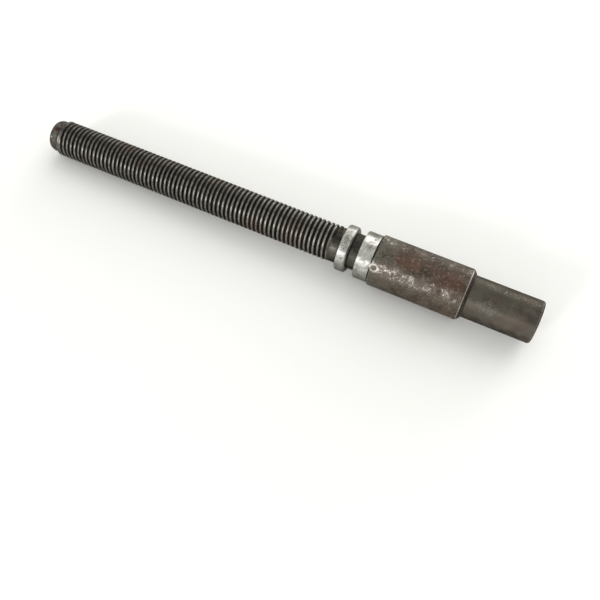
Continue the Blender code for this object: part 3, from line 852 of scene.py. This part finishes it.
def cover():
    """The rim that shows, and the spigot inside the housing, with a pocket for the seal."""
    rim_end = HOUSING_START - JOINT_GAP
    joint_end = HOUSING_START - 0.08
    pocket = COVER_START + 8.4
    pocket_r = 22.7
    bore = 19.4
    spigot = 23.5

    def burr(x, radius, angle):
        """Metal pushed into the joint beside the lock screw."""
        if x < rim_end - 0.01 or x > joint_end + 0.01 or abs(radius - spigot) > 0.01:
            return radius
        away = abs(angle - LOCK_ANGLE) * COVER_R
        return radius + (COVER_R - 0.1 - radius) * (1 - smoothstep(2.2, 4.0, away))

    ring = turned("cover_ring", [
        (COVER_START, COVER_R - 0.5, 0.15),
        (COVER_START + 0.5, COVER_R, 0.3),
        (rim_end, COVER_R, 0.25),
        (rim_end, spigot, 0),
        (joint_end, spigot, 0),
        (HOUSING_START, spigot, 0),
        (COVER_END, spigot, 0.3),
        (COVER_END, bore, 0.2),
        (pocket, bore, 0.2),
        (pocket, pocket_r, 0),
        (COVER_START, pocket_r, 0.2),
    ], FINISHES["ground_steel"], longest=3.0, shape=burr, around=240)
    cut(ring, prism("dimple", 40, 2.8, 21.6, 30, radial_place(LOCK_X, LOCK_ANGLE)))
    stand_in(ring, "housing", "front_cover")


def housing():
    """Its bore has, from the front, the bearings' seat, a shoulder and the O-ring's groove."""
    rear_mouth = 22.9
    bore = 22.55
    seat = 23.8
    face = HOUSING_START + RELIEF
    recess_r = COVER_R + RELIEF_GAP
    shoulder = SHAFT_START + 434.5
    shoulder_end = shoulder + 3
    shoulder_r = 20.8
    groove = SHAFT_START + 478.2
    groove_end = groove + 2.6
    groove_r = bore + 1.65

    def scale(x, radius, angle):
        """The scale's unevenness, on the outside only."""
        if radius < HOUSING_R - 0.6:
            return radius
        swell = 0.05 * unevenness(x, angle, radius, 14, 3)
        return radius - 0.08 + swell + 0.03 * unevenness(x, angle, radius, 3, 4)

    shell = turned("housing_shell", [
        (HOUSING_START, HOUSING_R - 0.5, 0.15),
        (HOUSING_START + 0.5, HOUSING_R, 0.3),
        (HOUSING_END - HOUSING_CHAMFER, HOUSING_R, 0.35),
        (HOUSING_END, rear_mouth, 0.12),
        (HOUSING_END - 0.35, bore, 0.1),
        (groove_end, bore, 0.1),
        (groove_end, groove_r, 0.2),
        (groove, groove_r, 0.2),
        (groove, bore, 0.1),
        (shoulder_end, bore, 0.2),
        (shoulder_end, shoulder_r, 0.2),
        (shoulder, shoulder_r, 0.2),
        (shoulder, seat, 0.2),
        (face, seat, 0.2),
        (face, recess_r, 0),
        (HOUSING_START, recess_r, 0.1),
    ], FINISHES["oxidised_steel"], longest=1.3, shape=scale, around=224)
    place = radial_place(LOCK_X, LOCK_ANGLE)
    cut(
        shell,
        prism("lock_hole", 48, 2.56, 20, 30, place),
        prism("lock_sink", 48, 2.6, HOUSING_R - 0.45, HOUSING_R + 0.35, place, taper=1.5),
    )
    stand_in(shell, "housing", "bearing_housing")


def lock_screw():
    """A grub screw with a hexagon socket, a little below the housing's surface."""
    point = 22.0
    top = HOUSING_R - 0.22
    socket_floor = top - 0.35  # the rest of the socket is packed with dirt
    grub = turned("lock_grub", [
        (point, 0, 0),
        (point, 1.5, 0.1),
        (22.9, 2.45, 0.2),
        (top - 0.2, 2.5, 0.08),
        (top, 2.3, 0.08),
        (top, 0, 0),
    ], FINISHES["fastener_steel"], closed=False, around=48)
    cut(grub, prism("grub_socket", 6, 1.45, socket_floor, top + 1, Matrix.Identity(4)))
    grub.data.transform(radial_place(LOCK_X, LOCK_ANGLE))
    stand_in(grub, "housing", "cover_lock_screw")


def drive_sleeve():
    """Its end has a recess for the washer and the screw."""
    recess = SLEEVE_END - 8.0
    recess_r = 14.2
    bore = 10.3

    def scale(x, radius, angle):
        """The scale's unevenness, on the outside only."""
        if radius < SLEEVE_R - 0.4:
            return radius
        return radius - 0.04 + 0.03 * unevenness(x, angle, radius, 12, 5)

    sleeve = turned("drive_stub", [
        (SLEEVE_START, SLEEVE_R - 0.8, 0.2),
        (SLEEVE_START + 0.8, SLEEVE_R, 0.3),
        (SLEEVE_END - SLEEVE_CHAMFER, SLEEVE_R, 0.4),
        (SLEEVE_END, SLEEVE_R - 1.2, 0.3),
        (SLEEVE_END, recess_r, 0.25),
        (recess, recess_r, 0.15),
        (recess, bore, 0.2),
        (SLEEVE_START, bore, 0.3),
    ], FINISHES["sleeve_steel"], longest=1.6, shape=scale, around=192)
    keyway = block(
        "keyway", (SLEEVE_START - 1, -KEYWAY_HALF, 0), (SHAFT_START + 512, KEYWAY_HALF, 12.8))
    cut(sleeve, keyway)
    stand_in(sleeve, "screw", "drive_sleeve")


def end_washer():
    """A thick washer with a countersink."""
    bore = 4.3
    washer = turned("end_cap", [
        (WASHER_START, WASHER_R, 0.2),
        (WASHER_END - 0.6, WASHER_R, 0.2),
        (WASHER_END, WASHER_R - 0.6, 0.15),
        (WASHER_END, 8.3, 0.1),
        (WASHER_END - 4.0, bore, 0.15),
        (WASHER_START, bore, 0.15),
    ], FINISHES["fastener_steel"], longest=2.0)
    stand_in(washer, "screw", "end_washer")


def end_screw():
    """A countersunk screw with a hexagon socket."""
    stem_r = 3.9
    screw = turned("cap_screw", [
        (SCREW_START, 0, 0),
        (SCREW_START, 3.2, 0.1),
        (SCREW_START + 0.8, stem_r, 0.2),
        (SCREW_END - 4.0, stem_r, 0.3),
        (SCREW_END - 0.15, SCREW_R, 0.08),
        (SCREW_END, SCREW_R - 0.15, 0.08),
        (SCREW_END, 0, 0),
    ], FINISHES["fastener_steel"], closed=False, around=96, longest=2.0)
    cut(screw, prism("cap_socket", 6, 2.9, SCREW_END - 3.2, SCREW_END + 1, Matrix.Identity(4)))
    stand_in(screw, "screw", "end_screw")


def carried_over():
    """Every CAD node takes the procedural finish of its slot."""
    for entry in frame["record"]["subparts"]:
        node = frame["nodes"][entry["node"]]
        node.data.materials.clear()
        node.data.materials.append(FINISHES[entry["material_slot"]])
        node.data.shade_smooth()
        node.data.set_sharp_from_angle(angle=CAD_SHARP_ANGLE)


# ---------------------------------------------------------------- floor, light and camera


def floor():
    """The screw lies on its housing's front edge and on its far end, so the floor is at a slope in
    the object's frame."""
    far_x, far_r = SHAFT_START + 16.0, LAND_R
    near_x, near_r = HOUSING_START + 0.6, HOUSING_R
    slope = (near_r - far_r) / (near_x - far_x)
    tilt = atan2(slope, 1)
    gap = 0.05
    half_side = 40.0  # in metres, so that its edge is far behind the object in the low views
    bm = bmesh.new()
    bmesh.ops.create_grid(bm, x_segments=8, y_segments=8, size=half_side)
    bmesh.ops.rotate(bm, matrix=Matrix.Rotation(tilt, 3, "Y"), verts=bm.verts)
    height = -(near_r + gap) * MM / cos(tilt) + slope * near_x * MM
    bmesh.ops.translate(bm, vec=(0, 0, height), verts=bm.verts)
    f = Finish("pale floor")
    mottle = f.noise(60, detail=2, seed=71)
    colour = f.mix(mottle, (0.888, 0.892, 0.872, 1), (0.896, 0.900, 0.880, 1))
    finished("floor", bm, f.finish(colour, roughness=0.75))


def soft_sun(name, came_from, spread, strength):
    """A distant round light: its spread in degrees makes its shadows soft."""
    light = bpy.data.lights.new(name, "SUN")
    light.angle = radians(spread)
    light.energy = strength
    obj = bpy.data.objects.new(name, light)
    obj.rotation_euler = Vector(came_from).to_track_quat("Z", "Y").to_euler()
    bpy.context.scene.collection.objects.link(obj)


def studio():
    """A plain pale backdrop for the camera. The light from the surroundings is bright overhead and
    behind and darker in front. There are broad lights behind and in front, and a small one in front
    that draws the faint second shadow."""
    world = bpy.data.worlds.new("studio")
    bpy.context.scene.world = world
    world.use_nodes = True
    tree = world.node_tree
    direction = tree.nodes.new("ShaderNodeTexCoord").outputs["Generated"]
    along = tree.nodes.new("ShaderNodeVectorMath")
    along.operation = "DOT_PRODUCT"
    along.inputs[1].default_value = (0, 0.5, 0.866)
    tree.links.new(direction, along.inputs[0])
    spread = tree.nodes.new("ShaderNodeMapRange")
    spread.inputs["From Min"].default_value = -0.5
    tree.links.new(along.outputs["Value"], spread.inputs["Value"])
    ramp = tree.nodes.new("ShaderNodeValToRGB")
    tree.links.new(spread.outputs[0], ramp.inputs[0])
    front, behind = ramp.color_ramp.elements
    front.position, front.color = 0.0, (0.20, 0.198, 0.192, 1)
    behind.position, behind.color = 1.0, (0.915, 0.915, 0.885, 1)
    seen = tree.nodes.new("ShaderNodeMix")
    seen.data_type = "RGBA"
    path = tree.nodes.new("ShaderNodeLightPath")
    tree.links.new(path.outputs["Is Camera Ray"], seen.inputs["Factor"])
    tree.links.new(ramp.outputs[0], seen.inputs[6])
    seen.inputs[7].default_value = (0.93, 0.93, 0.91, 1)
    tree.links.new(seen.outputs[2], tree.nodes["Background"].inputs["Color"])
    tree.nodes["Background"].inputs["Strength"].default_value = 1.0
    soft_sun("back light", (0.22, 0.76, 0.62), 70, 1.12)
    soft_sun("low back light", (0.22, 0.95, 0.14), 32, 1.1)
    soft_sun("front light", (-0.33, -0.85, 0.42), 7, 0.66)
    soft_sun("low front light", (-0.33, -0.92, 0.20), 45, 0.6)
    soft_sun("upper front light", (-0.25, -0.70, 0.85), 60, 0.30)


def camera():
    data = bpy.data.cameras.new("camera")
    data.sensor_width = 36
    data.lens = 42.32
    obj = bpy.data.objects.new("camera", data)
    bpy.context.scene.collection.objects.link(obj)
    obj.location = (0.20446, -0.38013, 0.60934)
    forward = Vector((-0.207555, 0.437167, -0.875103))
    obj.rotation_mode = "QUATERNION"
    obj.rotation_quaternion = forward.to_track_quat("-Z", "Y")
    bpy.context.scene.camera = obj


camera()
studio()
floor()
carried_over()
spindle()
collar()
neck()
cover()
housing()
lock_screw()
drive_sleeve()
end_washer()
end_screw()

bpy.context.scene.view_settings.view_transform = "Standard"
